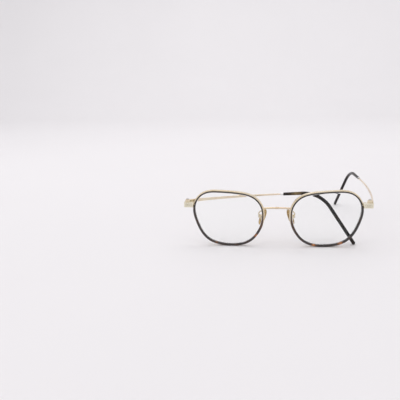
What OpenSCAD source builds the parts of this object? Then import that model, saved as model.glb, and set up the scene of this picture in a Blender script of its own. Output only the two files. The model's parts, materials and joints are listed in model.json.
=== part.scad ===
// Wire-frame eyeglasses with inset acetate rings, stored with one temple folded and one open.
// Right and left are the wearer's: the left side is at +X. The front faces -Y and the temples
// reach back along +Y when they are open. +Z is up. The origin is on the resting surface, under
// the middle of the bounding box. Sizes are in millimetres.

/* [Rims and lenses] */
// Width of one rim outline, at the middle of its inner ring
rim_w = 49.2; // [48:0.1:50]
// Height of one rim outline, at the middle of its inner ring
rim_h = 38.5; // [37.5:0.1:39.5]
// Distance between the middles of the two rims
eye_distance = 68.4; // [68:0.1:70]
// Angle that each rim turns back towards its temple
wrap = 3.5; // [2:0.5:5]
// Radius of the lens curve
lens_curve_r = 110; // [95:5:130]
// Thickness of a lens
lens_t = 1.8; // [1.4:0.1:2]
// Width of the acetate ring inside the eyewire, at the sides and below
ring_w = 1.25; // [1.1:0.05:1.5]
// Width that the ring gives up to the eyewire along the top
brow_gain = 0.32; // [0.2:0.01:0.36]
// Depth of the acetate ring, front to back
ring_depth = 2.4; // [2.2:0.1:2.8]
// Thickness of the metal eyewire outside the ring
wire_t = 0.56; // [0.4:0.02:0.8]
// Depth of the metal eyewire, front to back
wire_depth = 2; // [1.6:0.1:2.4]

/* [Bridge] */
// Radius of the bridge wire
bridge_r = 0.72; // [0.6:0.02:0.9]
// Height of the bridge ends above the resting surface
bridge_z = 27.4; // [27:0.1:28.5]
// Rise of the middle of the bridge over its ends
bridge_rise = 0.9; // [0:0.1:2]

/* [Nose pads] */
// Length of a nose pad
pad_l = 12; // [11:0.5:13]
// Width of a nose pad
pad_w = 7; // [6.5:0.1:7.5]
// Thickness of a nose pad
pad_t = 1.3; // [1.2:0.1:1.6]
// Angle that the pads open backwards
pad_splay = 27; // [20:1:32]
// Angle that the pads open downwards
pad_frontal = 24; // [18:1:27]

/* [Hinges] */
// Distance of a hinge axis from the middle plane
hinge_x = 64.5; // [64.2:0.1:65]
// Radius of the hinge barrels
barrel_r = 1.25; // [1.2:0.01:1.3]
// Radius of the hinge screw
hinge_screw_r = 0.6; // [0.5:0.02:0.65]

/* [Temples] */
// Distance of the temple strip outside its hinge axis
strip_offset = 1.9; // [1.85:0.05:2]
// Slope of the temples, rising backwards
temple_slope = 3.1; // [2.8:0.1:3.3]
// Length of the curved shank in front of the acetate tip
shank_l = 68; // [60:1:80]
// Straight run of the tip before the bend
tip_lead = 16; // [12:1:18]
// Radius of the bend over the ear
bend_r = 22; // [18:1:26]
// Angle of the bend over the ear
bend_angle = 59.5; // [55:0.5:62]
// Length of the straight end behind the ear
tip_end = 31.8; // [31:0.1:33]
// Angle that the bend leans in towards the head
bend_lean = 9.6; // [6:0.2:14]
// Radius of the acetate tip
tip_r = 1.25; // [1.15:0.05:1.35]

/* [Stored pose] */
// Fold of the right temple: 90 lies straight across the lenses
right_fold = 85.7; // [84:0.1:86.5]
// Fold of the left temple: 0 points straight back
left_fold = -1.7; // [-3:0.1:0]

/* [Hidden] */

$fn = 48;
gap = 0.02;        // space between pieces that are brazed or fitted together
left = 1;
right = -1;

gold = [0.86, 0.78, 0.60];
acetate = [0.13, 0.09, 0.08];
glass = [0.85, 0.90, 0.92, 0.35];
amber = [0.85, 0.62, 0.30, 0.8];
steel = [0.75, 0.75, 0.74];
nylon = [0.90, 0.90, 0.86];

// Middle of the bounding box, from the middle plane and the front of the bridge
box_mid = [2.3, 62.9];

// --- Rim outline -------------------------------------------------------------------------
// Control radii of the outline at equal angles from its middle, starting at the temple side and
// going over the top: a soft shape, widest in its upper third and narrower below.
outline_radii = [22.7, 27.7, 27.8, 22.2, 20.3, 21.1, 24.6, 25.7,
                 23.8, 21.9, 20.8, 18.3, 17.0, 17.7, 19.9, 21.0];
outline_w = 49.2;  // the width and height of the outline that the radii give
outline_h = 38.5;
outline_steps = 72;

// Closed cubic B-spline with a list of control values, at position t in steps
function smooth_loop(values, t) =
    let (n = len(values), k = floor(t), u = t - k, v = 1 - u,
         a = values[(k - 1 + n) % n], b = values[k % n],
         c = values[(k + 1) % n], d = values[(k + 2) % n])
    (a * v * v * v + b * (3 * u * u * u - 6 * u * u + 4)
        + c * (3 * v * v * v - 6 * v * v + 4) + d * u * u * u) / 6;

function outline_point(angle) =
    let (turn = (angle % 360 + 360) % 360,
         r = smooth_loop(outline_radii, turn * len(outline_radii) / 360))
    [r * cos(turn) * rim_w / outline_w, r * sin(turn) * rim_h / outline_h];

// Outward direction of the outline
function outline_normal(angle) =
    let (d = outline_point(angle + 1) - outline_point(angle - 1))
    [d.y, -d.x] / norm(d);

function outline_offset(angle, distance) =
    outline_point(angle) + distance * outline_normal(angle);

function offset_outline(distance) =
    [for (i = [0 : outline_steps - 1])
        outline_offset(rim_split + i * 360 / outline_steps, distance)];

// --- Rim placing -------------------------------------------------------------------------
// Optical centre of a lens, seen from the middle of its rim: the lens curve is deepest there.
optic = [2.2, -1.1];
rim_z = 18.6;                       // height of the rim's middle over the resting surface
rim_split = 23.9;                   // angle of the gap that the closing screw pulls shut
split_half = 0.4;                   // half of that gap, as an angle

// Depth of the lens surface at a place on the rim's own plane
function curve_depth(p) =
    lens_curve_r - sqrt(lens_curve_r * lens_curve_r - pow(norm(p - optic), 2));

module on_side(side) {
    translate([-box_mid.x, -box_mid.y, 0]) scale_side(side) children();
}

module scale_side(side) {
    mirror([side < 0 ? 1 : 0, 0, 0]) children();
}

module at_rim() {
    translate([eye_distance / 2 + optic.x, 0, rim_z])
        rotate([0, 0, wrap])
            translate([-optic.x, 0, 0])
                children();
}

// Share of the eyewire's front that the acetate covers: none along the top, all lower down
cover_start = 12;
cover_stop = 192;
cover_run = 26;
function ease_in(t) = let (u = min(1, max(0, t))) u * u * (3 - 2 * u);
function cover(angle) =
    let (turn = angle % 360)
    1 - ease_in((turn - cover_start) / cover_run) * ease_in((cover_stop - turn) / cover_run);

// A bar bent round the rim outline, open at the split. A section is a list of [outwards,
// backwards] points from the middle of the ring, and it leans with the lens curve. The bar
// has its top section along the top and turns into its low section at the sides.
module rim_bar(top, low) {
    n = len(top);
    stations = [for (i = [0 : outline_steps])
        rim_split + split_half + i * (360 - 2 * split_half) / outline_steps];
    points = [for (angle = stations, j = [0 : n - 1])
        let (c = cover(angle), s = top[j] * (1 - c) + low[j] * c, p = outline_offset(angle, s.x))
        [p.x, curve_depth(p) + s.y, p.y]];
    sides = [for (i = [0 : outline_steps - 1], j = [0 : n - 1])
        let (a = i * n + j, b = i * n + (j + 1) % n)
        each [[a, a + n, b], [b, a + n, b + n]]];
    first_cap = [for (j = [0 : n - 1]) j];
    last_cap = [for (j = [n - 1 : -1 : 0]) outline_steps * n + j];
    polyhedron(points, concat(sides, [first_cap, last_cap]), convexity = 10);
}

// A solid with the rim outline as its edge, from the front to the back
module rim_prism(distance, front, back) {
    translate([0, back, 0])
        rotate([90, 0, 0])
            linear_extrude(back - front)
                polygon(offset_outline(distance));
}

// A spherical layer of the lens curve
module curved_layer(thickness) {
    translate([optic.x, lens_curve_r, optic.y])
        difference() {
            sphere(lens_curve_r + thickness / 2);
            sphere(lens_curve_r - thickness / 2);
        }
}

// Removes the space that the rim needs from a piece that meets it
module clear_of_rim() {
    difference() {
        children();
        at_rim() rim_prism(ring_w / 2 + wire_t + 2 * gap, -6, 14);
    }
}

// --- Lenses and rims ---------------------------------------------------------------------
groove_half = 0.42;                 // half of the groove's width in the acetate ring
groove_d = 0.42;                    // depth of that groove
edge_t = 0.7;                       // thickness of the lens edge inside the groove
lens_clearance = 0.09;              // space between the lens and its ring

module lens(side) {
    color(glass)
        on_side(side)
            at_rim() {
                intersection() {
                    curved_layer(lens_t);
                    rim_prism(-ring_w / 2 - lens_clearance, -6, 14);
                }
                intersection() {
                    curved_layer(edge_t);
                    rim_prism(-ring_w / 2 + groove_d - lens_clearance, -6, 14);
                }
            }
}

// Low down, the ring has a lip in front that runs out over the eyewire's front edge.
lip_back = -0.65;                   // depth of the lip's back face, from the ring's middle
wire_front = -1;                    // depth of the eyewire's front along the top

// Section of the ring, for its outer radius, its lip's radius and the depth behind the lip
function ring_section(r, lip_r, lip_y, lip_bevel) =
    let (half = ring_w / 2, h = ring_depth / 2, bevel = 0.28)
    [[r, h - bevel], [r - bevel, h], [bevel - half, h], [-half, h - bevel],
     [-half, groove_half], [groove_d - half, groove_half],
     [groove_d - half, -groove_half], [-half, -groove_half],
     [-half, bevel - h], [bevel - half, -h], [lip_r - lip_bevel, -h], [lip_r, lip_bevel - h],
     [lip_r, lip_y], [r, lip_y]];

module acetate_ring(side) {
    top_r = ring_w / 2 - brow_gain;
    color(acetate)
        on_side(side)
            at_rim()
                rim_bar(ring_section(top_r, top_r + 0.01, wire_front - gap, 0.1),
                        ring_section(ring_w / 2, ring_w / 2 + wire_t + gap, lip_back, 0.26));
}

// Section of the eyewire, for its inner radius and the depth of its front
function wire_section(inner, front) =
    let (outer = ring_w / 2 + wire_t, back = wire_depth / 2, bevel = 0.22)
    [[inner, back], [inner, front], [outer - bevel, front],
     [outer, front + bevel], [outer, back - bevel], [outer - bevel, back]];

module eyewire(side) {
    color(gold)
        on_side(side)
            at_rim()
                rim_bar(wire_section(ring_w / 2 - brow_gain + gap, wire_front),
                        wire_section(ring_w / 2 + gap, lip_back + gap));
}

// --- Wires -------------------------------------------------------------------------------
// Smooth open curve through a list of points, at position t in steps
function smooth_path(points, t) =
    let (last = len(points) - 1, k = min(floor(t), last - 1), u = t - k,
         b = points[k], c = points[k + 1],
         a = k > 0 ? points[k - 1] : 2 * b - c,
         d = k + 2 <= last ? points[k + 2] : 2 * c - b)
    0.5 * (2 * b + (c - a) * u + (2 * a - 5 * b + 4 * c - d) * u * u
        + (3 * b - a - 3 * c + d) * u * u * u);

function unit(v) = v / norm(v);

// A round wire along a list of places, with a radius at each. The reference direction is
// never along the wire.
module wire(places, radii, reference, sides = 10) {
    last = len(places) - 1;
    points = [for (i = [0 : last])
        let (along = unit(places[min(i + 1, last)] - places[max(i - 1, 0)]),
             across = unit(cross(along, reference)), up = cross(along, across))
        for (j = [0 : sides - 1])
            places[i] + radii[i] * (cos(j * 360 / sides) * across + sin(j * 360 / sides) * up)];
    sleeve = [for (i = [0 : last - 1], j = [0 : sides - 1])
        let (a = i * sides + j, b = i * sides + (j + 1) % sides)
        each [[a, a + sides, b], [b, a + sides, b + sides]]];
    first_cap = [for (j = [0 : sides - 1]) j];
    last_cap = [for (j = [sides - 1 : -1 : 0]) last * sides + j];
    polyhedron(points, concat(sleeve, [first_cap, last_cap]), convexity = 10);
}

// --- Bridge ------------------------------------------------------------------------------
bridge_reach = 10.4;                // half length, before it is cut to the rims
bridge_front = 0.7;                 // depth of its middle
bridge_back = 1.9;                  // depth of its ends
collar_half = 1.1;                  // half length of the beaded collar in the middle

// The collar is three rings, with a groove each side of the middle one.
function bridge_radius(x) =
    abs(x) > collar_half ? bridge_r
    : bridge_r + 0.2 * pow(cos(abs(x) * 270 / collar_half), 2);

module bridge() {
    xs = [for (i = [-9 : 9]) each abs(i) < 2 ? [for (k = [-2 : 2]) i + k / 5] : [i]];
    places = [for (x = xs)
        let (t = x / 9)
        [t * bridge_reach, bridge_front + (bridge_back - bridge_front) * t * t,
         bridge_z + bridge_rise * (1 - pow(abs(t), 2.4))]];
    color(gold)
        on_side(left)
            difference() {
                wire(places, [for (p = places) bridge_radius(p.x)], [0, 0, 1], 12);
                for (side = [left, right])
                    scale_side(side)
                        at_rim() rim_prism(ring_w / 2 + wire_t + 2 * gap, -6, 14);
            }
}

// --- End pieces and closing blocks -------------------------------------------------------
end_x = 59;                         // inner edge of the end piece, before it is cut to the rim
outer_x = hinge_x + strip_offset + 0.4;
end_front = 2.9;                    // depth of its front face
plate_t = 1.35;
end_z = 27.8;                       // height of its lower edge
end_h = 3.6;
butt_y = 6.2;                       // where the end piece stops and the temple starts
return_t = 0.85;                    // thickness of the leg that runs back to the temple
corner_r = 1.3;
block_x = 61.1;                     // middle of the closing blocks and their screw
block_w = 2.2;
block_y = 5.45;
block_d = 2.36;
split_z = 29.55;                    // height where the two closing blocks meet
split_gap = 0.1;
rim_screw_r = 0.45;

// A shallow sunk panel with a row of raised lozenges, set into the front face
module engraved_panel() {
    panel = [5, 0.12, 2.5];
    lozenge = 1;
    pitch = 1.55;
    difference() {
        translate([-panel.x / 2, 0, -panel.z / 2]) cube(panel);
        for (i = [-1 : 1])
            translate([i * pitch, -1, 0])
                rotate([0, 45, 0])
                    translate([-lozenge / 2, 0, -lozenge / 2])
                        cube([lozenge, 3, lozenge]);
    }
}

module end_piece_plan() {
    translate([end_x, end_front]) square([outer_x - corner_r - end_x, plate_t]);
    translate([outer_x - return_t, end_front + corner_r])
        square([return_t, butt_y - end_front - corner_r]);
    intersection() {
        translate([outer_x - corner_r, end_front + corner_r]) circle(corner_r);
        translate([outer_x - corner_r, end_front]) square(corner_r);
    }
}

// One half of the block pair, from a height to the split or from the split up. The front
// allowance lets it run into the end piece.
module closing_block_body(bottom, height, into_plate) {
    difference() {
        translate([block_x - block_w / 2, block_y - block_d / 2 - into_plate, bottom])
            cube([block_w, block_d + into_plate, height]);
        translate([block_x, block_y, bottom - 1]) cylinder(r = rim_screw_r + gap, h = height + 2);
    }
}

module end_piece(side) {
    panel_x = 63.2;
    upper = split_z + split_gap / 2;
    color(gold)
        on_side(side)
            clear_of_rim() {
                difference() {
                    translate([0, 0, end_z]) linear_extrude(end_h) end_piece_plan();
                    translate([panel_x, end_front - gap, end_z + end_h / 2]) engraved_panel();
                }
                closing_block_body(upper, end_z + end_h - upper, 0.4);
            }
}

module closing_block(side) {
    color(gold)
        on_side(side)
            clear_of_rim()
                translate([0, gap, 0])
                    closing_block_body(end_z, split_z - split_gap / 2 - end_z, 0);
}

module slotted_head(radius, height) {
    slot_w = 0.26;
    slot_d = 0.2;
    difference() {
        cylinder(r = radius, h = height);
        translate([-radius, -slot_w / 2, height - slot_d]) cube([2 * radius, slot_w, 1]);
    }
}

module rim_screw(side) {
    head_r = 0.8;
    head_h = 0.5;
    color(steel)
        on_side(side)
            translate([block_x, block_y, end_z - gap]) {
                cylinder(r = rim_screw_r, h = end_h - 0.2);
                mirror([0, 0, 1]) slotted_head(head_r, head_h);
            }
}

// --- Hinges ------------------------------------------------------------------------------
hinge_y = 6.3;
knuckle_z = [28.4, 30.0, 31.8];     // bottom of the lower, middle and upper knuckles
knuckle_h = [1.4, 1.6, 1.3];
screw_clearance = 0.02;
running_clearance = 0.06;
leaf_t = 0.6;
leaf_y = end_front + plate_t + gap;
leaf_x = -2.1;                      // inner edge of the front leaf, from the hinge axis
leaf_w = 3.4;

module knuckle(i, bore) {
    translate([0, 0, knuckle_z[i]])
        difference() {
            children();
            translate([0, 0, -1]) cylinder(r = bore, h = knuckle_h[i] + 2);
        }
}

module front_hinge(side) {
    web_w = 1.2;
    color(gold)
        on_side(side)
            translate([hinge_x, hinge_y, 0]) {
                for (i = [0, 2])
                    knuckle(i, hinge_screw_r + screw_clearance)
                        union() {
                            cylinder(r = barrel_r, h = knuckle_h[i]);
                            translate([-web_w / 2, leaf_y + leaf_t / 2 - hinge_y, 0])
                                cube([web_w, hinge_y - leaf_y - leaf_t / 2, knuckle_h[i]]);
                        }
                translate([leaf_x, leaf_y - hinge_y, knuckle_z[0]])
                    cube([leaf_w, leaf_t, knuckle_z[2] + knuckle_h[2] - knuckle_z[0]]);
            }
}

module hinge_screw(side) {
    head_r = 1;
    head_h = 0.42;
    top = knuckle_z[2] + knuckle_h[2];
    color(steel)
        on_side(side)
            translate([hinge_x, hinge_y, 0]) {
                translate([0, 0, knuckle_z[0]]) cylinder(r = hinge_screw_r, h = top - knuckle_z[0] + gap);
                translate([0, 0, top + gap]) slotted_head(head_r, head_h);
            }
}

module hinge_washers(side) {
    washer_h = 0.12;
    color(nylon)
        on_side(side)
            translate([hinge_x, hinge_y, 0])
                for (i = [0, 1])
                    translate([0, 0, knuckle_z[i] + knuckle_h[i] + 0.04])
                        difference() {
                            cylinder(r = barrel_r - 0.05, h = washer_h);
                            translate([0, 0, -1]) cylinder(r = hinge_screw_r + 0.04, h = washer_h + 2);
                        }
}

// Places a piece of a temple: folds the open temple inwards about its hinge
module at_temple(side) {
    on_side(side)
        translate([hinge_x, hinge_y, 0])
            rotate([0, 0, side == left ? left_fold : right_fold])
                children();
}

// The leaf lies along the inside of the strip and starts clear of the front hinge's barrels.
module temple_hinge(side) {
    leaf = [0.4, 3.7, 2.9];
    leaf_start = 0.65;
    leaf_z = 29.2;
    leaf_gap = 0.07;                // the strip curves in a little along the leaf
    neck = [1.3, 1.6];
    color(gold)
        at_temple(side) {
            knuckle(1, hinge_screw_r + running_clearance)
                union() {
                    cylinder(r = barrel_r, h = knuckle_h[1]);
                    translate([0, -0.1, 0]) cube([neck.x, neck.y, knuckle_h[1]]);
                }
            translate([strip_offset, 0, leaf_z])
                rotate([0, 0, -lead_out])
                    translate([-strip_t / 2 - leaf_gap - leaf.x, leaf_start, 0])
                        cube(leaf);
        }
}

// --- Temples -----------------------------------------------------------------------------
strip_z = 31.45;                    // height of the strip's line at the hinge
strip_t = 0.8;
lead_out = 9.1;                     // angle that the strip leaves the hinge outwards
shank_turn = 15.6;                  // angle that it turns back in along the shank
shank_r = shank_l / (shank_turn * PI / 180);
bend_start = shank_l + tip_lead;

// Plan of the strip: [outwards, backwards] from the strip's start at a distance along it
function shank_place(s) =
    let (d = min(s, shank_l), a = lead_out - shank_turn * d / shank_l)
    [shank_r * (cos(a) - cos(lead_out)), shank_r * (sin(lead_out) - sin(a))]
        + max(0, s - shank_l) * [sin(a), cos(a)];

// Height of the strip: a deep butt at the hinge, a slim even strip after it
butt_l = 13;
butt_h = 3.6;
waist_h = 2;
strip_end_h = 1.1;
butt_drop = 0.75;                   // the butt hangs below the line of the strip
function ease(s) = sin(90 * s / butt_l);
function strip_height(s) =
    s < butt_l ? butt_h - (butt_h - waist_h) * ease(s)
    : waist_h - (waist_h - strip_end_h) * (s - butt_l) / (shank_l - butt_l);
function strip_drop(s) = s < butt_l ? butt_drop * (1 - ease(s)) : 0;

core_t = 0.7;                       // the strip runs on inside the acetate tip as a slim core
core_h = 0.9;

// Places of the core round the bend: [backwards, down] from the start of the bend
function bend_place(a) = bend_r * [sin(a), 1 - cos(a)];
function behind_bend(d) = bend_place(bend_angle) + d * [cos(bend_angle), sin(bend_angle)];

// From the bend's own plane to the temple's space: leaned in, then turned along the strip's end
end_turn = lead_out - shank_turn;
function lean(p) =
    let (side = -p.y * sin(bend_lean))
    [side * cos(end_turn) + p.x * sin(end_turn), p.x * cos(end_turn) - side * sin(end_turn),
     -p.y * cos(bend_lean)];

module temple_space(side) {
    at_temple(side)
        translate([strip_offset, 0, strip_z])
            rotate([temple_slope, 0, 0])
                children();
}

// The eight corners of the strip's section, as [across, up] for a thickness and a height
function strip_section(t, h) =
    let (x = t / 2, z = h / 2, b = 0.16)
    [[x, b - z], [x, z - b], [x - b, z], [b - x, z], [-x, z - b], [-x, b - z], [b - x, -z], [x - b, -z]];

module temple(side) {
    shank = [for (s = [0.1, 3, 6, 9.5, 13, 20, 28, 36, 44, 52, 60, 66, 70])
        let (p = shank_place(s), a = lead_out - shank_turn * min(s, shank_l) / shank_l)
        [for (c = strip_section(strip_t, strip_height(s)))
            [p.x + c.x * cos(a), p.y - c.x * sin(a), c.y - strip_drop(s)]]];
    start = shank_place(bend_start);
    core_lead = [for (s = [72, 78, 84])
        let (p = shank_place(s))
        [for (c = strip_section(core_t, core_h))
            [p.x + c.x * cos(end_turn), p.y - c.x * sin(end_turn), c.y]]];
    bend = [for (a = [7 : 7.5 : bend_angle])
        [for (c = strip_section(core_t, core_h))
            let (p = bend_place(a) + c.y * [sin(a), -cos(a)], q = lean(p))
            [start.x + q.x + c.x * cos(end_turn), start.y + q.y - c.x * sin(end_turn), q.z]]];
    tail = [for (d = [0, tip_end - 5])
        [for (c = strip_section(core_t, core_h))
            let (p = behind_bend(d) + c.y * [sin(bend_angle), -cos(bend_angle)], q = lean(p))
            [start.x + q.x + c.x * cos(end_turn), start.y + q.y - c.x * sin(end_turn), q.z]]];
    rows = concat(shank, core_lead, bend, tail);
    n = 8;
    last = len(rows) - 1;
    sides = [for (i = [0 : last - 1], j = [0 : n - 1])
        let (a = i * n + j, b = i * n + (j + 1) % n)
        each [[a, b, a + n], [b, b + n, a + n]]];
    first_cap = [for (j = [n - 1 : -1 : 0]) j];
    last_cap = [for (j = [0 : n - 1]) last * n + j];
    color(gold)
        temple_space(side)
            polyhedron([for (row = rows) each row], concat(sides, [first_cap, last_cap]), convexity = 10);
}

// --- Temple tips -------------------------------------------------------------------------
ferrule_l = 2.2;
tip_start_r = 1.1;
channel_r = 0.66;

// Puts its children at the start of the bend, leaned in, with +Y along the strip's end
module at_bend() {
    start = shank_place(bend_start);
    translate([start.x, start.y, 0])
        rotate([0, 0, -end_turn])
            rotate([0, bend_lean, 0])
                children();
}

// Puts its children at a distance along the strip's straight end, with +Z along it
module along_lead(from) {
    at_bend()
        translate([0, from - bend_start, 0])
            rotate([-90, 0, 0])
                children();
}

// Puts its children behind the bend, with +Z along the straight end of the tip
module behind_ear(from) {
    at_bend()
        translate([0, behind_bend(from).x, -behind_bend(from).y])
            rotate([-90 - bend_angle, 0, 0])
                children();
}

// A round bar round the bend over the ear
module bend_bar(radius) {
    at_bend()
        translate([0, 0, -bend_r])
            rotate([90, 0, 90])
                rotate([0, 0, 90 - bend_angle])
                    rotate_extrude(angle = bend_angle, $fn = 96)
                        translate([bend_r, 0]) circle(radius, $fn = 48);
}

// The bend is a hair slimmer than the straight runs, which reach a little way into it.
reach_in = 0.2;
slimmer = 0.01;

module temple_tip(side) {
    straight_end = tip_end - tip_r;
    channel_end = tip_end - 4.5;
    color(acetate)
        temple_space(side)
            difference() {
                union() {
                    along_lead(shank_l + ferrule_l + gap)
                        cylinder(r1 = tip_start_r, r2 = tip_r, h = tip_lead - ferrule_l - gap + reach_in);
                    bend_bar(tip_r - slimmer);
                    behind_ear(-reach_in) cylinder(r = tip_r, h = straight_end + reach_in);
                    behind_ear(straight_end) sphere(tip_r);
                }
                along_lead(shank_l) cylinder(r = channel_r, h = tip_lead + reach_in);
                bend_bar(channel_r - slimmer);
                behind_ear(-reach_in) cylinder(r = channel_r, h = channel_end + reach_in);
            }
}

module ferrule(side) {
    color(steel)
        temple_space(side)
            along_lead(shank_l + gap)
                difference() {
                    union() {
                        cylinder(r = 0.98, h = 0.5);
                        cylinder(r = 0.86, h = ferrule_l - gap);
                    }
                    translate([0, 0, -1]) cylinder(r = channel_r, h = ferrule_l + 2);
                }
}

// --- Nose pads ---------------------------------------------------------------------------
pad_place = [9.4, 8.6, 19.2];       // middle of the pad's face
screw_x = 2.5;                      // distance of the pad screw behind the pad's face
pad_screw_r = 0.32;
tab_t = 0.8;
box_w = 2.2;
box_h = 2.4;
box_front = 1.5;
box_back = 3.8;
slot_back = 3.45;
plate_r = 2.1;
plate_h = 0.45;

// The pad's own space: +X away from the nose, +Y across the pad and backwards, +Z along it
module pad_space() {
    translate(pad_place)
        rotate([0, -pad_frontal, -pad_splay])
            children();
}

module at_pad(side) {
    on_side(side) pad_space() children();
}

module pad_outline() {
    r = pad_w / 2;
    for (end = [-1, 1]) translate([end * (pad_l / 2 - r), 0]) circle(r);
    square([pad_l - pad_w, pad_w], center = true);
}

module nose_pad(side) {
    color(amber)
        at_pad(side)
            difference() {
                rotate([0, 90, 0]) linear_extrude(pad_t) pad_outline();
                translate([pad_t - plate_h, 0, 0])
                    rotate([0, 90, 0])
                        cylinder(r = plate_r + gap, h = 1);
            }
}

module pad_mount(side) {
    color(gold)
        at_pad(side)
            difference() {
                union() {
                    translate([pad_t - plate_h + gap, 0, 0])
                        rotate([0, 90, 0])
                            cylinder(r = plate_r, h = plate_h - gap);
                    translate([pad_t - 0.1, -tab_t / 2, -0.8])
                        cube([screw_x - pad_t + 0.1, tab_t, 1.6]);
                    translate([screw_x, -tab_t / 2, 0])
                        rotate([-90, 0, 0])
                            cylinder(r = 0.8, h = tab_t);
                }
                translate([screw_x, -2, 0]) rotate([-90, 0, 0]) cylinder(r = pad_screw_r + 0.05, h = 4);
            }
}

module pad_box(side) {
    slot_half = tab_t / 2 + 0.1;
    color(gold)
        at_pad(side)
            difference() {
                translate([box_front + 0.15, -box_w / 2, -box_h / 2])
                    cube([box_back - box_front - 0.15, box_w, box_h]);
                translate([0, -slot_half, -2]) cube([slot_back, 2 * slot_half, 4]);
                translate([screw_x, -3, 0]) rotate([-90, 0, 0]) cylinder(r = pad_screw_r + gap, h = 6);
            }
}

module pad_screw(side) {
    color(steel)
        at_pad(side)
            translate([screw_x, box_w / 2, 0])
                rotate([90, 0, 0]) {
                    cylinder(r = pad_screw_r, h = box_w + gap);
                    translate([0, 0, box_w + gap]) slotted_head(0.62, 0.35);
                }
}

// Points of the pad arm, from the back of the eyewire round to the back of the pad box
arm_points = [[9.1, 3.07, 24.4], [9.2, 4.0, 24.5], [10.0, 5.6, 24.9], [11.3, 6.6, 24.6],
              [12.5, 7.1, 23.4], [12.9, 7.15, 21.9], [12.2, 7.15, 20.6]];
arm_r = 0.45;

module pad_arm(side) {
    steps = 24;
    places = [for (i = [0 : steps]) smooth_path(arm_points, i * (len(arm_points) - 1) / steps)];
    color(gold)
        on_side(side)
            difference() {
                wire(places, [for (p = places) arm_r], [1, -1, 1], 8);
                pad_space() translate([box_front, -2, -2]) cube([box_back + gap - box_front, 4, 4]);
            }
}

bridge();
lens(left);  // left_lens
lens(right);  // right_lens
acetate_ring(left);  // left_acetate_ring
acetate_ring(right);  // right_acetate_ring
eyewire(left);  // left_eyewire
eyewire(right);  // right_eyewire
end_piece(left);  // left_end_piece
end_piece(right);  // right_end_piece
closing_block(left);  // left_closing_block
closing_block(right);  // right_closing_block
rim_screw(left);  // left_rim_screw
rim_screw(right);  // right_rim_screw
front_hinge(left);  // left_front_hinge
front_hinge(right);  // right_front_hinge
hinge_screw(left);  // left_hinge_screw
hinge_screw(right);  // right_hinge_screw
hinge_washers(left);  // left_hinge_washers
hinge_washers(right);  // right_hinge_washers
pad_arm(left);  // left_pad_arm
pad_arm(right);  // right_pad_arm
pad_box(left);  // left_pad_box
pad_box(right);  // right_pad_box
pad_screw(left);  // left_pad_screw
pad_screw(right);  // right_pad_screw
nose_pad(left);  // left_nose_pad
nose_pad(right);  // right_nose_pad
pad_mount(left);  // left_pad_mount
pad_mount(right);  // right_pad_mount
temple_hinge(left);  // left_temple_hinge
temple_hinge(right);  // right_temple_hinge
temple(left);  // left_temple
temple(right);  // right_temple
ferrule(left);  // left_ferrule
ferrule(right);  // right_ferrule
temple_tip(left);  // left_temple_tip
temple_tip(right);  // right_temple_tip
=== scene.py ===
import json
import math

import bmesh
import bpy
from mathutils import Matrix, Vector

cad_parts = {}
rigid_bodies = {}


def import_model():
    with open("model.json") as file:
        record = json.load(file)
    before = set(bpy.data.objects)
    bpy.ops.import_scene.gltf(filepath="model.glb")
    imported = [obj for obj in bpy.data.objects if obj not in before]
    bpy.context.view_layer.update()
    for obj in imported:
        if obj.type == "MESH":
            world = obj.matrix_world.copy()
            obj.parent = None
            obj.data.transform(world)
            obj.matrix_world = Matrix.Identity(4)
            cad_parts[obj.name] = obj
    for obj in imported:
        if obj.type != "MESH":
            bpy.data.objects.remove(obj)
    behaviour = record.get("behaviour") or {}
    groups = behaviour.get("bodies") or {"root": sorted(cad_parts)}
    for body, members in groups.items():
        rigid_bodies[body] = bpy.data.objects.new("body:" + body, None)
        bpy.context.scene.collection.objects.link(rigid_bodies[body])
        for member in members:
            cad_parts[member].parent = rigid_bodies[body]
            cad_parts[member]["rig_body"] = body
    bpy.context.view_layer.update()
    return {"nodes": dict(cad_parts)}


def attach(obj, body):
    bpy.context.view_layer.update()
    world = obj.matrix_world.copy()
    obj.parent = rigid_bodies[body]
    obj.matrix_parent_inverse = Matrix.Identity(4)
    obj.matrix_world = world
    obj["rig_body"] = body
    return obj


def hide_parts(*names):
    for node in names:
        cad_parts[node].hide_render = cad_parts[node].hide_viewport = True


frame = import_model()

# ---------------------------------------------------------------------------
# Sizes, in millimetres, as the part is designed: x from the middle plane towards one temple,
# y from the front, z from the resting surface. The right side is the mirror of the left.
# ---------------------------------------------------------------------------
MM = 0.001
SIDES = {"left": 1, "right": -1}
BOX_MID = Vector((2.3, 62.9, 0))

# Control radii of the rim outline at equal angles, from the temple side over the top. They repeat
# part.scad's list. A least-squares fit to the rim edges seen in the photograph gave them.
OUTLINE = (22.7, 27.7, 27.8, 22.2, 20.3, 21.1, 24.6, 25.7,
           23.8, 21.9, 20.8, 18.3, 17.0, 17.7, 19.9, 21.0)
OPTIC = Vector((2.2, -1.1))
RIM_MID_X, RIM_MID_Z, WRAP = 34.2, 18.6, 3.5
LENS_R, LENS_T, LENS_EDGE = 110, 1.8, 0.7
RING_W, RING_DEPTH, BROW_GAIN = 1.25, 2.4, 0.32
WIRE_T, WIRE_DEPTH, WIRE_FRONT, LIP_BACK = 0.56, 2.0, -1.0, -0.65
COVER_START, COVER_STOP, COVER_RUN = 12, 192, 26
SPLIT, SPLIT_HALF = 23.9, 0.4
GROOVE_HALF, GROOVE_D, LENS_GAP = 0.42, 0.42, 0.09
GAP = 0.02

BRIDGE_R, BRIDGE_Z, BRIDGE_RISE = 0.72, 27.4, 0.9
BRIDGE_REACH, BRIDGE_END = 10.4, 9.5
BRIDGE_FRONT, BRIDGE_BACK = 0.7, 1.9

PANEL_MID = Vector((63.2, 2.98, 29.6))
LOZENGE_PITCH, SCROLL_RISE, SCROLL_R = 1.55, 0.95, 0.09

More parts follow.
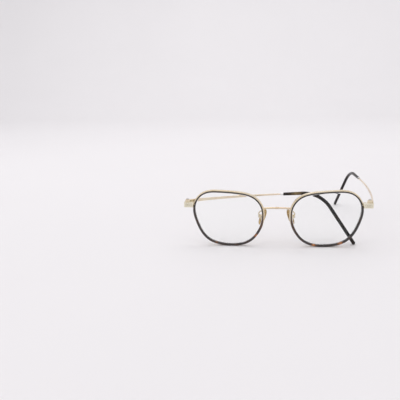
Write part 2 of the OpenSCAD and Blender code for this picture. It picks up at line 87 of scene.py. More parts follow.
HINGE = Vector((64.5, 6.3, 0))
FOLD = {"left": -1.7, "right": 85.7}
STRIP_OFFSET, STRIP_Z, SLOPE = 1.9, 31.45, 3.1
STRIP_T, LEAD_OUT, SHANK_TURN, SHANK_L = 0.8, 9.1, 15.6, 68
BUTT_L, BUTT_H, WAIST_H, STRIP_END_H, BUTT_DROP = 13, 3.6, 2.0, 1.1, 0.75
TIP_LEAD, BEND_R, BEND_ANGLE, TIP_END, LEAN = 16, 22, 59.5, 31.8, 9.6
TIP_START_R, TIP_R, CHANNEL_R = 1.1, 1.25, 0.66
CORE_T, CORE_H, CORE_SHORT = 0.7, 0.9, 5
FERRULE_L = 2.2

PAD_PLACE = Vector((9.4, 8.6, 19.2))
PAD_L, PAD_W, PAD_T, PAD_SPLAY, PAD_FRONTAL = 12, 7, 1.3, 27, 24
PAD_SEAT_R, PAD_SEAT_D = 2.12, 0.45
ARM_R = 0.45
ARM = [Vector(p) for p in ((9.1, 3.07, 24.4), (9.2, 4.0, 24.5), (10.0, 5.6, 24.9),
                           (11.3, 6.6, 24.6), (12.5, 7.1, 23.4), (12.9, 7.15, 21.9),
                           (12.25, 7.15, 20.7))]


def rotation(axis, degrees):
    return Matrix.Rotation(math.radians(degrees), 4, axis)


def shift(x, y, z):
    return Matrix.Translation((x, y, z))


def to_part(side):
    """From one side's design space, in millimetres, to the part's frame, in metres."""
    return (Matrix.Scale(MM, 4) @ Matrix.Translation(-BOX_MID)
            @ Matrix.Scale(SIDES[side], 4, (1, 0, 0)))


AT_RIM = (shift(RIM_MID_X + OPTIC.x, 0, RIM_MID_Z) @ rotation("Z", WRAP)
          @ shift(-OPTIC.x, 0, 0))


def temple_space(side):
    return (Matrix.Translation(HINGE) @ rotation("Z", FOLD[side])
            @ shift(STRIP_OFFSET, 0, STRIP_Z) @ rotation("X", SLOPE))


PAD_SPACE = (Matrix.Translation(PAD_PLACE) @ rotation("Z", -PAD_SPLAY)
             @ rotation("Y", -PAD_FRONTAL))


# ---------------------------------------------------------------------------
# Rim outline
# ---------------------------------------------------------------------------
def outline(angle):
    """A place on the outline, across and up from the rim's middle."""
    n = len(OUTLINE)
    t = angle % 360 * n / 360
    k = int(t)
    u = t - k
    v = 1 - u
    a, b, c, d = (OUTLINE[(k + i) % n] for i in (-1, 0, 1, 2))
    r = (a * v**3 + b * (3 * u**3 - 6 * u**2 + 4)
         + c * (3 * v**3 - 6 * v**2 + 4) + d * u**3) / 6
    return Vector((r * math.cos(math.radians(angle)), r * math.sin(math.radians(angle))))


def beside(angle, distance):
    """A place that far outside the outline."""
    d = outline(angle + 0.5) - outline(angle - 0.5)
    return outline(angle) + distance * Vector((d.y, -d.x)).normalized()


def curve_depth(p):
    """How far behind the lens's foremost place its middle surface lies."""
    return LENS_R - math.sqrt(LENS_R**2 - (p - OPTIC).length_squared)


def on_rim(p, back):
    """A place on the lens curve, and that far behind it, in the side's design space."""
    return AT_RIM @ Vector((p.x, curve_depth(p) + back, p.y))


# ---------------------------------------------------------------------------
# Mesh tools
# ---------------------------------------------------------------------------
def rounded(corners, radii, steps=4):
    """A closed outline with each corner rounded by its own radius."""
    out = []
    n = len(corners)
    for i, (p, r) in enumerate(zip(corners, radii)):
        p = Vector(p)
        a = (Vector(corners[i - 1]) - p).normalized()
        b = (Vector(corners[(i + 1) % n]) - p).normalized()
        for k in range(steps + 1):
            t = k / steps
            out.append((p + a * r) * (1 - t)**2 + p * 2 * t * (1 - t) + (p + b * r) * t**2)
    return out


def circle(radius, sides):
    return [Vector((radius * math.cos(2 * math.pi * j / sides),
                    radius * math.sin(2 * math.pi * j / sides))) for j in range(sides)]


def smooth_path(points, t):
    """Open Catmull-Rom curve through the points, at position t in steps."""
    last = len(points) - 1
    k = min(int(t), last - 1)
    u = t - k
    b, c = points[k], points[k + 1]
    a = points[k - 1] if k > 0 else 2 * b - c
    d = points[k + 2] if k + 2 <= last else 2 * c - b
    return 0.5 * (2 * b + (c - a) * u + (2 * a - 5 * b + 4 * c - d) * u**2
                  + (3 * b - a - 3 * c + d) * u**3)


def add_piece(name, bm, side, body, material, nodes):
    """Turns a mesh in one side's design space into a piece that rides on a body."""
    bmesh.ops.transform(bm, matrix=to_part(side), verts=bm.verts)
    bmesh.ops.recalc_face_normals(bm, faces=bm.faces)
    mesh = bpy.data.meshes.new(name)
    bm.to_mesh(mesh)
    bm.free()
    mesh.shade_smooth()
    mesh.materials.append(material)
    piece = bpy.data.objects.new(name, mesh)
    bpy.context.scene.collection.objects.link(piece)
    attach(piece, body)
    if nodes:
        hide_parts(*nodes)
    return piece


def loft(rows, marks, patches=None, closed=False):
    """A skin over rows of places, each row a closed loop. marks and patches give each row's
    value of the attributes 'along' and 'patch', and 'around' goes round the loop and back. A
    closed loft joins its last row to its first."""
    bm = bmesh.new()
    along, around, patch = (bm.verts.layers.float.new(n) for n in ("along", "around", "patch"))
    loops = []
    for i, row in enumerate(rows):
        loop = [bm.verts.new(p) for p in row]
        for j, v in enumerate(loop):
            v[along] = marks[i]
            v[around] = abs(2 * j / len(row) - 1)
            v[patch] = patches[i] if patches else 0.0
        loops.append(loop)
    pairs = list(zip(loops, loops[1:]))
    if closed:
        pairs.append((loops[-1], loops[0]))
    for a, b in pairs:
        n = len(a)
        for j in range(n):
            bm.faces.new((a[j], a[(j + 1) % n], b[(j + 1) % n], b[j]))
    if not closed:
        for loop in (loops[0], loops[-1]):
            middle = bm.verts.new(sum((v.co for v in loop), Vector()) / len(loop))
            middle[along] = loop[0][along]
            for j, v in enumerate(loop):
                bm.faces.new((middle, v, loop[(j + 1) % len(loop)]))
    return bm


def wire_rows(places, radii, reference, sides):
    """Rows of a round wire along places."""
    rows = []
    last = len(places) - 1
    for i, p in enumerate(places):
        along = (places[min(i + 1, last)] - places[max(i - 1, 0)]).normalized()
        across = along.cross(reference).normalized()
        up = along.cross(across)
        rows.append([p + across * c.x + up * c.y for c in circle(radii[i], sides)])
    return rows


# ---------------------------------------------------------------------------
# Materials
# ---------------------------------------------------------------------------
class Shader:
    """A Principled material with its nodes built step by step."""

    def __init__(self, name, **values):
        self.material = bpy.data.materials.new(name)
        self.material.use_nodes = True
        self.tree = self.material.node_tree
        self.principled = self.tree.nodes["Principled BSDF"]
        for socket, value in values.items():
            self.principled.inputs[socket.replace("_", " ")].default_value = value
        self.place = self.node("ShaderNodeTexCoord").outputs["Object"]

    def node(self, kind, inputs=(), **settings):
        n = self.tree.nodes.new(kind)
        for key, value in settings.items():
            setattr(n, key, value)
        for key, value in dict(inputs).items():
            if isinstance(value, bpy.types.NodeSocket):
                self.tree.links.new(value, n.inputs[key])
            else:
                n.inputs[key].default_value = value
        return n

    def link(self, output, socket):
        self.tree.links.new(output, self.principled.inputs[socket])

    def attribute(self, name):
        return self.node("ShaderNodeAttribute", attribute_name=name).outputs["Fac"]

    def math(self, operation, a, b=0.0):
        return self.node("ShaderNodeMath", {0: a, 1: b}, operation=operation).outputs[0]

    def noise(self, scale, detail=4.0, rough=0.55, vector=None):
        """Noise with its features that many to a metre."""
        n = self.node("ShaderNodeTexNoise", {"Vector": vector or self.place, "Scale": scale,
                                             "Detail": detail, "Roughness": rough})
        return n.outputs["Fac"]

    def ramp(self, value, *stops):
        n = self.node("ShaderNodeValToRGB", {"Fac": value})
        ramp = n.color_ramp
        while len(ramp.elements) < len(stops):
            ramp.elements.new(1.0)
        for element, (position, colour) in zip(ramp.elements, stops):
            element.position = position
            element.color = (*colour, 1.0)
        return n.outputs["Color"]

    def span(self, value, low, high, out_low, out_high):
        n = self.node("ShaderNodeMapRange", {"Value": value, "From Min": low, "From Max": high,
                                             "To Min": out_low, "To Max": out_high})
        return n.outputs["Result"]

    def along_grain(self, along_scale, around_scale):
        """A vector drawn out along a loft, for brushing and streaks."""
        return self.node("ShaderNodeCombineXYZ", {
            "X": self.math("MULTIPLY", self.attribute("along"), along_scale),
            "Y": self.math("MULTIPLY", self.attribute("around"), around_scale),
        }).outputs[0]

    def bump(self, height, strength, distance):
        self.link(self.node("ShaderNodeBump", {"Height": height, "Strength": strength,
                                               "Distance": distance}).outputs["Normal"], "Normal")


def gold(name, light, deep, brushed=False, ridges=0):
    """Polished pale gold plate: a slight drift of tone, finger haze and fine hairlines, with
    turned ridges that many radians to a millimetre where asked for."""
    s = Shader(name, Metallic=1.0)
    s.link(s.ramp(s.noise(90, 3), (0.3, deep), (0.7, light)), "Base Color")
    haze = s.noise(260, 5)
    hairs = s.noise(1.0, 2, vector=s.along_grain(0.35, 60)) if brushed else s.noise(2600, 2)
    s.link(s.span(s.math("MULTIPLY", haze, hairs), 0.12, 0.42, 0.14, 0.34), "Roughness")
    height = hairs
    if ridges:
        line = s.math("SINE", s.math("MULTIPLY", s.attribute("along"), ridges))
        height = s.math("ADD", s.math("MULTIPLY", line, 2.0), hairs)
    s.bump(height, 0.25, 0.00003)
    return s.material


MIX_A, MIX_B, MIX_RESULT = 6, 7, 2  # the colour sockets of a mix node


def tortoise(name, dark, brown, amber, gloss):
    """Polished acetate: near black with drifting brown, and amber where 'patch' lets it through."""
    s = Shader(name, Coat_Weight=gloss, Coat_Roughness=0.06, Coat_IOR=1.4,
               Specular_IOR_Level=0.5 * gloss)
    base = s.ramp(s.noise(240, 4), (0.42, dark), (0.68, brown))
    mottle = s.noise(700, 3)
    share = s.math("MULTIPLY", s.attribute("patch"), s.span(mottle, 0.3, 0.55, 0.35, 1.0))
    mix = s.node("ShaderNodeMix", {"Factor": share}, data_type="RGBA", clamp_factor=True)
    streak = s.ramp(mottle, (0.35, amber), (0.75, [c * 1.5 for c in amber]))
    s.tree.links.new(base, mix.inputs[MIX_A])
    s.tree.links.new(streak, mix.inputs[MIX_B])
    s.link(mix.outputs[MIX_RESULT], "Base Color")
    s.link(s.span(s.noise(500, 5), 0.3, 0.7, 0.10, 0.24), "Roughness")
    s.bump(s.noise(900, 3), 0.08, 0.00002)
    return s.material


def amber_acetate():
    """The pads: clear amber that clouds a little with use."""
    s = Shader("amber_pads", IOR=1.47, Transmission_Weight=0.55)
    s.link(s.ramp(s.noise(420, 4), (0.3, (0.52, 0.33, 0.11)), (0.7, (0.80, 0.60, 0.28))),
           "Base Color")
    s.link(s.span(s.noise(900, 5), 0.3, 0.7, 0.12, 0.34), "Roughness")
    s.bump(s.noise(1500, 3), 0.15, 0.00003)
    return s.material


def lens_glass():
    """Clear coated lens: a weak gloss with a trace of smears, and lamplight let through."""
    s = Shader("lens_glass", IOR=1.22, Transmission_Weight=1.0,
               Base_Color=(0.985, 0.995, 0.99, 1.0))
    s.link(s.span(s.noise(120, 6, 0.7), 0.45, 0.8, 0.0, 0.03), "Roughness")
    lamp = s.node("ShaderNodeLightPath").outputs["Is Shadow Ray"]
    clear = s.node("ShaderNodeBsdfTransparent", {"Color": (0.97, 0.98, 0.975, 1.0)})
    mix = s.node("ShaderNodeMixShader", {0: lamp, 1: s.principled.outputs[0],
                                         2: clear.outputs[0]})
    s.tree.links.new(mix.outputs[0], s.tree.nodes["Material Output"].inputs["Surface"])
    return s.material


def steel(name, light, deep):
    """Bright metal with a fine uneven grain."""
    s = Shader(name, Metallic=1.0)
    s.link(s.ramp(s.noise(900, 3), (0.3, deep), (0.7, light)), "Base Color")
    s.link(s.span(s.noise(2200, 4), 0.3, 0.7, 0.2, 0.42), "Roughness")
    s.bump(s.noise(5200, 2), 0.2, 0.00002)
    return s.material


def nylon_washers():
    """Milky nylon with a soft sheen."""
    s = Shader("nylon_washers", Subsurface_Weight=0.1, Subsurface_Radius=(0.001, 0.001, 0.001))
    s.link(s.ramp(s.noise(1500, 3), (0.3, (0.76, 0.76, 0.70)), (0.7, (0.86, 0.86, 0.82))),
           "Base Color")
    s.link(s.span(s.noise(2500, 3), 0.3, 0.7, 0.4, 0.6), "Roughness")
    s.bump(s.noise(4000, 2), 0.2, 0.00002)
    return s.material


PALE_GOLD, DEEP_GOLD = (0.88, 0.79, 0.62), (0.74, 0.62, 0.43)
ROSE_GOLD = (0.78, 0.62, 0.48)
wire_gold = gold("rim_gold", PALE_GOLD, DEEP_GOLD, brushed=True)
bridge_gold = gold("bridge_gold", ROSE_GOLD, DEEP_GOLD, brushed=True, ridges=14)
strip_gold = gold("temple_gold", PALE_GOLD, ROSE_GOLD, brushed=True)
block_gold = gold("block_gold", (0.92, 0.84, 0.66), DEEP_GOLD)
end_gold = gold("end_gold", (0.91, 0.87, 0.74), (0.76, 0.70, 0.52))
chased_gold = gold("chased_gold", (0.52, 0.47, 0.32), (0.30, 0.26, 0.17))
ring_acetate = tortoise("ring_tortoise", (0.012, 0.009, 0.009), (0.05, 0.024, 0.014),
                        (0.46, 0.17, 0.045), 0.9)
tip_acetate = tortoise("tip_tortoise", (0.009, 0.008, 0.009), (0.028, 0.018, 0.014),
                       (0.20, 0.14, 0.06), 0.3)
pad_amber = amber_acetate()
glass = lens_glass()
screw_steel = steel("screw_steel", (0.72, 0.71, 0.69), (0.52, 0.51, 0.50))
ferrule_silver = steel("ferrule_silver", (0.88, 0.88, 0.87), (0.74, 0.73, 0.72))
nylon = nylon_washers()


# ---------------------------------------------------------------------------
# Rims and lenses
# ---------------------------------------------------------------------------
RIM_STEPS = 240
END_EASE = 0.22  # degrees over which a rim's cut end is eased
# Amber patches in the rings: (angle on the outline, half width in degrees, strength)
PATCHES = {"left": ((244.5, 3.4, 1.0), (303, 4.4, 0.9), (186, 15, 0.10)),
           "right": ((208.5, 2.6, 0.9), (299, 2.0, 0.35), (184, 13, 0.12))}


def patch_at(side, angle):
    return max(strength * math.exp(-((angle - middle) / width)**2)
               for middle, width, strength in PATCHES[side])


def ease_in(t):
    """A smooth step from 0 to 1 as t goes from 0 to 1."""
    t = min(1, max(0, t))
    return t * t * (3 - 2 * t)


def cover(angle):
    """Share of the eyewire's front that the acetate covers: none along the top."""
    turn = angle % 360
    return 1 - (ease_in((turn - COVER_START) / COVER_RUN)
                * ease_in((COVER_STOP - turn) / COVER_RUN))


def rim_loft(side, top, low, end_round=0.12):
    """A bar round the outline, open at the split, with its two ends a little eased. Its top
    section turns into its low section at the sides."""
    rows, marks, patches = [], [], []
    run = 0.0
    first, last = SPLIT + SPLIT_HALF, SPLIT + 360 - SPLIT_HALF
    stations = [(first, 1 - end_round), (first + END_EASE, 1.0)]
    stations += [(first + (last - first) * i / RIM_STEPS, 1.0) for i in range(1, RIM_STEPS)]
    stations += [(last - END_EASE, 1.0), (last, 1 - end_round)]
    for i, (angle, size) in enumerate(stations):
        low_share = cover(angle)
        section = [a * (1 - low_share) + b * low_share for a, b in zip(top, low)]
        rows.append([on_rim(beside(angle, p.x * size), p.y * size) for p in section])
        if i:
            run += (outline(angle) - outline(stations[i - 1][0])).length
        marks.append(run)
        patches.append(patch_at(side, angle % 360))
    return loft(rows, marks, patches)


def ring_section(r, lip_r, lip_y, lip_round):
    """Section of the ring for its outer radius and the radius, back and rounding of its lip."""
    half, h = RING_W / 2, RING_DEPTH / 2
    floor_x = GROOVE_D - half
    corners = [(r, h), (-half, h), (-half, GROOVE_HALF), (floor_x, GROOVE_HALF),
               (floor_x, -GROOVE_HALF), (-half, -GROOVE_HALF), (-half, -h), (lip_r, -h),
               (lip_r, lip_y), (r, lip_y)]
    return rounded(corners, (0.24, 0.34, 0.1, 0.04, 0.04, 0.1, 0.34, lip_round, 0.004, 0.004))


def acetate_ring(side):
    """A ring round the lens whose front runs out over the eyewire below and at the sides."""
    top_r = RING_W / 2 - BROW_GAIN
    top = ring_section(top_r, top_r + 0.01, WIRE_FRONT - GAP, 0.16)
    low = ring_section(RING_W / 2, RING_W / 2 + WIRE_T + GAP, LIP_BACK, 0.36)
    return add_piece(f"{side}_ring", rim_loft(side, top, low), side, "front",
                     ring_acetate, [f"{side}_acetate_ring"])


def wire_section(inner, front, easing):
    """Section of the eyewire for its inner radius, its front and the rounding of that front."""
    outer, back = RING_W / 2 + WIRE_T, WIRE_DEPTH / 2
    corners = [(inner, back), (inner, front), (outer, front), (outer, back)]
    return rounded(corners, (0.1, 0.08, easing, 0.24), 5)


def eyewire(side):
    """The metal rim: a flat bar over the brow, and a slim band behind the acetate elsewhere."""
    top = wire_section(RING_W / 2 - BROW_GAIN + GAP, WIRE_FRONT, 0.36)
    low = wire_section(RING_W / 2 + GAP, LIP_BACK + GAP, 0.1)
    return add_piece(f"{side}_rim_wire", rim_loft(side, top, low, 0.04), side, "front",
                     wire_gold, [f"{side}_eyewire"])


def lens(side):
    """A dished lens with an eased shoulder and a slim edge that sits in the ring's groove."""
    edge = -RING_W / 2 + GROOVE_D - LENS_GAP
    shoulder = -RING_W / 2 - LENS_GAP
    steps = 144

    def ring(share, inset, half):
        """A loop at that share of the way out to the inset outline, that far off the middle
        surface of the lens."""
        loop = []
        for i in range(steps):
            p = OPTIC + (beside(i * 360 / steps, inset) - OPTIC) * share
            slope = (p - OPTIC).length / LENS_R
            loop.append(on_rim(p, half / math.sqrt(1 - slope**2)))
        return loop

    half, lip = LENS_T / 2, LENS_EDGE / 2
    ease = 0.12
    shares = [0.02, 0.15, 0.3, 0.45, 0.6, 0.75, 0.88, 0.97]
    rows = [ring(f, shoulder, -half) for f in shares]
    rows += [ring(1, shoulder - ease, -half), ring(1, shoulder - ease * 0.3, ease * 0.3 - half),
             ring(1, shoulder, ease - half), ring(1, shoulder, -lip),
             ring(1, edge - ease, -lip), ring(1, edge, ease - lip), ring(1, edge, lip - ease),
             ring(1, edge - ease, lip), ring(1, shoulder, lip), ring(1, shoulder, half - ease),
             ring(1, shoulder - ease * 0.3, half - ease * 0.3), ring(1, shoulder - ease, half)]
    rows += [ring(f, shoulder, half) for f in reversed(shares)]
    return add_piece(f"{side}_lens_glass", loft(rows, range(len(rows))), side, "front",
                     glass, [f"{side}_lens"])


# ---------------------------------------------------------------------------
# Bridge
# ---------------------------------------------------------------------------
COLLAR_HALF, COLLAR_RISE, COLLAR_TURN = 1.1, 0.22, 270
END_BEAD_X, END_BEAD_W, END_BEAD_RISE = 8.35, 0.2, 0.16
SHAFT_SLIMMER = 0.04


def bridge_radius(x):
    """Three rings in the middle and a fine bead by each rim."""
    x = abs(x)
    bead = END_BEAD_RISE * math.exp(-((x - END_BEAD_X) / END_BEAD_W)**2)
    if x > COLLAR_HALF:
        return BRIDGE_R - SHAFT_SLIMMER + bead
    wave = math.cos(math.radians(x * COLLAR_TURN / COLLAR_HALF))
    return BRIDGE_R + COLLAR_RISE * wave**2


def bridge():
    """A slim arched wire from rim to rim."""
    steps = 260
    places, radii = [], []
    for i in range(steps + 1):
        x = BRIDGE_END * (2 * i / steps - 1)
        t = x / BRIDGE_REACH
        places.append(Vector((x, BRIDGE_FRONT + (BRIDGE_BACK - BRIDGE_FRONT) * t * t,
                              BRIDGE_Z + BRIDGE_RISE * (1 - abs(t)**2.4))))
        radii.append(bridge_radius(x))
    rows = wire_rows(places, radii, Vector((0, 0, 1)), 28)
    return add_piece("bridge_wire", loft(rows, [p.x for p in places]), "left", "front",
                     bridge_gold, ["bridge"])


# ---------------------------------------------------------------------------
# Temples
# ---------------------------------------------------------------------------
SHANK_R = SHANK_L / math.radians(SHANK_TURN)
BEND_START = SHANK_L + TIP_LEAD
BEND_L = BEND_R * math.radians(BEND_ANGLE)
TIP_STOP = BEND_START + BEND_L + TIP_END
END_TURN = LEAD_OUT - SHANK_TURN
# The amber streak in each tip: (place along the temple, half width, strength)
TIP_PATCHES = {"left": (82, 2.0, 0.1), "right": (79.5, 3.6, 0.85)}


def shank_place(s):
    """A place on the shank, which bows inwards and then runs straight into the tip."""
    d = min(s, SHANK_L)
    a, first = math.radians(LEAD_OUT - SHANK_TURN * d / SHANK_L), math.radians(LEAD_OUT)
    rest = max(0, s - SHANK_L)
    return Vector((SHANK_R * (math.cos(a) - math.cos(first)) + rest * math.sin(a),
                   SHANK_R * (math.sin(first) - math.sin(a)) + rest * math.cos(a), 0))


AT_BEND = (Matrix.Translation(shank_place(BEND_START)) @ rotation("Z", -END_TURN)
           @ rotation("Y", LEAN))


def temple_station(s):
    """The temple's line at a distance along it: a place, the way across it and the way up."""
    if s <= BEND_START:
        a = math.radians(LEAD_OUT - SHANK_TURN * min(s, SHANK_L) / SHANK_L)
        leaned = max(0, s - SHANK_L) / TIP_LEAD
        across = Vector((math.cos(a), -math.sin(a), 0))
        axis = Vector((math.sin(a), math.cos(a), 0))
        turn = Matrix.Rotation(math.radians(LEAN * leaned), 3, axis)
        return shank_place(s), turn @ across, turn @ Vector((0, 0, 1))
    d = s - BEND_START
    a = min(d, BEND_L) / BEND_R
    rest = max(0, d - BEND_L)
    place = Vector((0, BEND_R * math.sin(a) + rest * math.cos(a),
                    -BEND_R * (1 - math.cos(a)) - rest * math.sin(a)))
    turn = AT_BEND.to_3x3()
    return (AT_BEND @ place, turn @ Vector((1, 0, 0)),
            turn @ Vector((0, math.sin(a), math.cos(a))))


def temple_row(s, section, drop=0.0):
    """A section set on the temple's line at a distance along it."""
    place, across, up = temple_station(s)
    return [place + across * c.x + up * (c.y - drop) for c in section]


def in_temple(bm, side):
    """Moves a mesh from the temple's own space into its side's design space."""
    bmesh.ops.transform(bm, matrix=temple_space(side), verts=bm.verts)
    return bm


def strip_size(s):
    """Thickness, height and drop of the strip at a distance along it."""
    if s < BUTT_L:
        ease = math.sin(math.radians(90 * s / BUTT_L))
        return STRIP_T, BUTT_H - (BUTT_H - WAIST_H) * ease, BUTT_DROP * (1 - ease)
    if s < SHANK_L:
        share = (s - BUTT_L) / (SHANK_L - BUTT_L)
        return STRIP_T, WAIST_H - (WAIST_H - STRIP_END_H) * share, 0.0
    return CORE_T, CORE_H, 0.0


CORNER_SHARE = 0.34  # a strip's corner radius for its thinner side
STRIP_EDGE = 0.14    # how far from its front end a strip's edges are eased


def strip_section(t, h):
    """A flat bar's section, its edges well rounded."""
    r = min(t, h) * CORNER_SHARE
    x, z = t / 2, h / 2
    return rounded([(x, -z), (x, z), (-x, z), (-x, -z)], [r] * 4, 5)


def temple(side):
    """A flat strip that tapers to the ferrule and runs on as a slim core in the tip."""
    stops = [0.1 + 0.02 * i for i in range(3)]
    stops += [0.8 * i for i in range(1, 88)] + [SHANK_L + 0.1 * i for i in range(4)]
    core_stops = [SHANK_L + 1 + 1.3 * i for i in range(48)]
    stops += [s for s in core_stops if s < TIP_STOP - CORE_SHORT]
    rows, marks = [], []
    for s in stops:
        t, h, drop = strip_size(s)
        ease = max(0, STRIP_EDGE - s) * 2
        rows.append(temple_row(s, strip_section(t - ease, h - ease), drop))
        marks.append(s)
    return add_piece(f"{side}_strip", in_temple(loft(rows, marks), side), side,
                     f"{side}_temple_arm", strip_gold, [f"{side}_temple"])


def temple_tip(side):
    """A round acetate sleeve with the strip's core in its bore, closed by a round end."""
    start = SHANK_L + FERRULE_L + GAP
    bore_stop = TIP_STOP - CORE_SHORT + 0.5
    end = TIP_STOP - TIP_R
    middle, width, strength = TIP_PATCHES[side]
    sides = 32

    def radius(s):
        share = min(1, (s - start) / (TIP_LEAD - FERRULE_L))
        return TIP_START_R + (TIP_R - TIP_START_R) * share

    outer = [(start, TIP_START_R - 0.14), (start + 0.03, TIP_START_R - 0.06),
             (start + 0.12, TIP_START_R)]
    s = start + 0.6
    while s < end:
        outer.append((s, radius(s)))
        s += 0.8
    outer += [(end + TIP_R * math.sin(math.radians(a)), TIP_R * math.cos(math.radians(a)))
              for a in range(0, 90, 9)]
    bore = [(bore_stop - 1.2 * i, CHANNEL_R) for i in range(100) if bore_stop - 1.2 * i > start]
    stations = bore + [(start, CHANNEL_R)] + outer
    rows = [temple_row(s, circle(r, sides)) for s, r in stations]
    patches = [strength * math.exp(-((s - middle) / width)**2) for s, _ in stations]
    bm = loft(rows, [s for s, _ in stations], patches)
    return add_piece(f"{side}_tip", in_temple(bm, side), side, f"{side}_temple_arm",
                     tip_acetate, [f"{side}_temple_tip"])


def ferrule(side):
    """A turned sleeve with a bead at the strip's end and a fine groove behind it."""
    profile = ((0.0, 0.80), (0.05, 0.90), (0.18, 0.97), (0.34, 0.97), (0.47, 0.90),
               (0.54, 0.84), (0.62, 0.86), (1.5, 0.86), (1.56, 0.82), (1.66, 0.82),
               (1.72, 0.86), (2.1, 0.86), (2.16, 0.83), (2.18, 0.78))
    start = SHANK_L + GAP
    bore_r = 0.67
    stations = [(profile[-1][0], bore_r), (profile[0][0], bore_r)] + list(profile)
    rows = [temple_row(start + s, circle(r, 32)) for s, r in stations]
    bm = loft(rows, [s for s, _ in stations], closed=True)
    return add_piece(f"{side}_sleeve", in_temple(bm, side), side, f"{side}_temple_arm",
                     ferrule_silver, [f"{side}_ferrule"])


# ---------------------------------------------------------------------------
# Nose pads
# ---------------------------------------------------------------------------
def pad_outline(angle, share):
    """A pad's outline: an oval with long sides, a little fuller below its middle."""
    a = math.radians(angle)
    across = abs(math.cos(a))**0.86 * math.copysign(1, math.cos(a))
    up = abs(math.sin(a))**0.92 * math.copysign(1, math.sin(a))
    fuller = 1 - 0.07 * up
    return share * PAD_W / 2 * across * fuller, share * PAD_L / 2 * up


def nose_pad(side):
    """A crowned pad with a rounded edge, and a seat behind for its mount."""
    steps = 96
    seat = PAD_T - PAD_SEAT_D
    profile = [(0.04, 0.0), (0.25, 0.02), (0.5, 0.07), (0.7, 0.15), (0.84, 0.25), (0.92, 0.34),
               (0.97, 0.46), (0.995, 0.62), (1.0, 0.76), (0.985, 0.92), (0.95, 1.06),
               (0.88, 1.17), (0.76, 1.25), (0.62, 1.29)]
    rows = []
    for share, depth in profile:
        rows.append([PAD_SPACE @ Vector((depth, *pad_outline(i * 360 / steps, share)))
                     for i in range(steps)])
    for r, depth in ((PAD_SEAT_R + 0.05, PAD_T), (PAD_SEAT_R, PAD_T - 0.05), (PAD_SEAT_R, seat),
                     (PAD_SEAT_R * 0.5, seat), (0.1, seat)):
        rows.append([PAD_SPACE @ Vector((depth, c.x, c.y)) for c in circle(r, steps)])
    return add_piece(f"{side}_pad_face", loft(rows, range(len(rows))), side, f"{side}_pad",
                     pad_amber, [f"{side}_nose_pad"])


def pad_arm(side):
    """A bent wire from the back of the rim to the back of the pad box."""
    steps = 90
    places = [smooth_path(ARM, i * (len(ARM) - 1) / steps) for i in range(steps + 1)]
    marks = [i * 0.12 for i in range(steps + 1)]
    radii = [ARM_R] * (steps + 1)
    rows = wire_rows(places, radii, Vector((1, -1, 1)), 20)
    return add_piece(f"{side}_pad_wire", loft(rows, marks), side, "front",
                     wire_gold, [f"{side}_pad_arm"])


# ---------------------------------------------------------------------------
# Small machined pieces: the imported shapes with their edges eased
# ---------------------------------------------------------------------------
WELD = 0.002      # millimetres between corners that are one corner
FLAT_ANGLE = 0.6  # degrees between faces that are one face
EDGE_ANGLE = 35   # degrees from which an edge is rounded


def machined(node, material, ease):
    """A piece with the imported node's shape, its edges rounded by that many millimetres."""
    bm = bmesh.new()
    bm.from_mesh(frame["nodes"][node].data)
    bmesh.ops.remove_doubles(bm, verts=bm.verts, dist=WELD * MM)
    bmesh.ops.dissolve_limit(bm, angle_limit=math.radians(FLAT_ANGLE), verts=bm.verts,
                             edges=bm.edges)
    limit = math.radians(EDGE_ANGLE)
    sharp = [e for e in bm.edges if e.is_manifold and e.calc_face_angle() > limit]
    bmesh.ops.bevel(bm, geom=sharp, offset=ease * MM, segments=3, profile=0.5, affect="EDGES",
                    clamp_overlap=True)
    mesh = bpy.data.meshes.new(f"{node}_eased")
    bm.to_mesh(mesh)
    bm.free()
    mesh.shade_smooth()
    mesh.materials.append(material)
    piece = bpy.data.objects.new(f"{node}_eased", mesh)
    bpy.context.scene.collection.objects.link(piece)
    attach(piece, frame["nodes"][node]["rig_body"])
    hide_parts(node)
    weighted = piece.modifiers.new("flat faces", "WEIGHTED_NORMAL")
    weighted.keep_sharp = True
    return piece


MACHINED = (("end_piece", "engraved_gold", end_gold, 0.14),
            ("closing_block", "pale_gold", block_gold, 0.08),
            ("rim_screw", "screw_steel", screw_steel, 0.05),
            ("front_hinge", "pale_gold", block_gold, 0.08),
            ("hinge_screw", "screw_steel", screw_steel, 0.05),
            ("hinge_washers", "nylon", nylon, 0.02),
            ("temple_hinge", "pale_gold", block_gold, 0.08),
            ("pad_box", "pale_gold", block_gold, 0.08),
            ("pad_screw", "screw_steel", screw_steel, 0.04),
            ("pad_mount", "pale_gold", block_gold, 0.07))


def scroll(side):
    """A fine chased line that weaves above and below the lozenges of the end piece's panel."""
    half, steps = 1.5 * LOZENGE_PITCH, 120
    places = []
    for i in range(steps):
        turn = 4 * i / steps
        x = half * (turn - 1 if turn < 2 else 3 - turn)
        wave = SCROLL_RISE * math.cos(math.pi * x / LOZENGE_PITCH)
        places.append(PANEL_MID + Vector((x, 0, wave if turn < 2 else -wave)))
    rows = wire_rows(places, [SCROLL_R] * steps, Vector((0, 1, 0)), 10)
    return add_piece(f"{side}_scroll", loft(rows, range(steps), closed=True), side, "front",
                     chased_gold, [])


bridge()
for side in SIDES:
    for build in (acetate_ring, eyewire, lens, temple, temple_tip, ferrule, nose_pad, pad_arm,
                  scroll):
        build(side)
    for name, slot, material, ease in MACHINED:
        machined(f"{side}_{name}", material, ease)


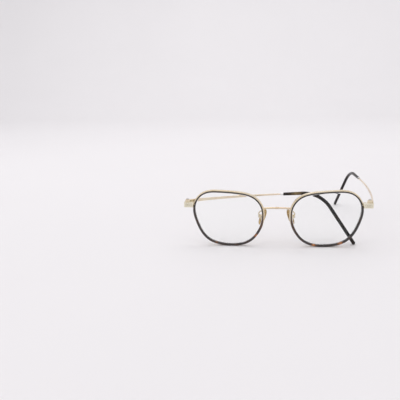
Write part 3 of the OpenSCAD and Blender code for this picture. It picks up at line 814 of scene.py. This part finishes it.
# ---------------------------------------------------------------------------
# Floor, lights and camera
# ---------------------------------------------------------------------------
def floor():
    """A pale sheet that runs back from the camera and curves up into a backdrop."""
    front, back, wide, bend, steps = -1.6, 1.1, 3.0, 0.6, 24
    bm = bmesh.new()
    line = [(front, 0.0), (back, 0.0)]
    line += [(back + bend * math.sin(math.radians(90 * i / steps)),
              bend * (1 - math.cos(math.radians(90 * i / steps)))) for i in range(1, steps + 1)]
    line.append((back + bend, 2.6))
    pairs = [(bm.verts.new((-wide, y, z)), bm.verts.new((wide, y, z))) for y, z in line]
    for (a, b), (c, d) in zip(pairs, pairs[1:]):
        bm.faces.new((a, b, d, c))
    mesh = bpy.data.meshes.new("backdrop")
    bm.to_mesh(mesh)
    bm.free()
    mesh.shade_smooth()
    s = Shader("backdrop")
    s.link(s.ramp(s.noise(2.5, 2), (0.3, (0.80, 0.785, 0.795)), (0.7, (0.815, 0.80, 0.81))),
           "Base Color")
    s.principled.inputs["Roughness"].default_value = 0.6
    mesh.materials.append(s.material)
    sheet = bpy.data.objects.new("backdrop", mesh)
    bpy.context.scene.collection.objects.link(sheet)


def area_light(name, place, aim, size, power, colour=(1, 1, 1)):
    """A soft rectangular lamp, with its places in metres and its power in watts."""
    light = bpy.data.lights.new(name, "AREA")
    light.shape = "RECTANGLE"
    light.size, light.size_y = size
    light.energy = power
    light.color = colour
    lamp = bpy.data.objects.new(name, light)
    lamp.location = place
    lamp.rotation_euler = (Vector(aim) - Vector(place)).to_track_quat("-Z", "Y").to_euler()
    bpy.context.scene.collection.objects.link(lamp)


def camera():
    """Looks down at the glasses from a little to their right."""
    aim = Vector((-57.45, -57.9, 32.8)) * MM
    distance, azimuth, down, roll = 0.3622, -6.547, 13.486, -1.268
    turn = rotation("Z", -azimuth) @ rotation("X", 90 - down) @ rotation("Z", roll)
    data = bpy.data.cameras.new("camera")
    data.lens, data.sensor_width = 45, 36
    data.clip_start = 0.01
    view = bpy.data.objects.new("camera", data)
    view.matrix_world = Matrix.Translation(aim) @ turn @ shift(0, 0, distance)
    bpy.context.scene.collection.objects.link(view)
    bpy.context.scene.camera = view


floor()
area_light("overhead", (-0.15, 0.15, 1.1), (0, 0, 0), (1.4, 1.2), 4.2, (1, 0.985, 0.985))
area_light("window", (-1.2, -0.5, 0.8), (0, 0, 0.02), (0.9, 0.9), 2.1)
area_light("fill", (1.1, -0.9, 0.6), (0, 0, 0.02), (0.8, 0.8), 1.0, (1, 0.98, 0.97))
area_light("backdrop_light", (0, 0.7, 1.7), (0, 1.75, 0.5), (2.6, 0.6), 8)
camera()

world = bpy.data.worlds.new("studio")
world.use_nodes = True
world.node_tree.nodes["Background"].inputs["Color"].default_value = (0.93, 0.92, 0.94, 1)
world.node_tree.nodes["Background"].inputs["Strength"].default_value = 0.79
bpy.context.scene.world = world
bpy.context.scene.view_settings.view_transform = "Standard"

bpy.context.view_layer.update()
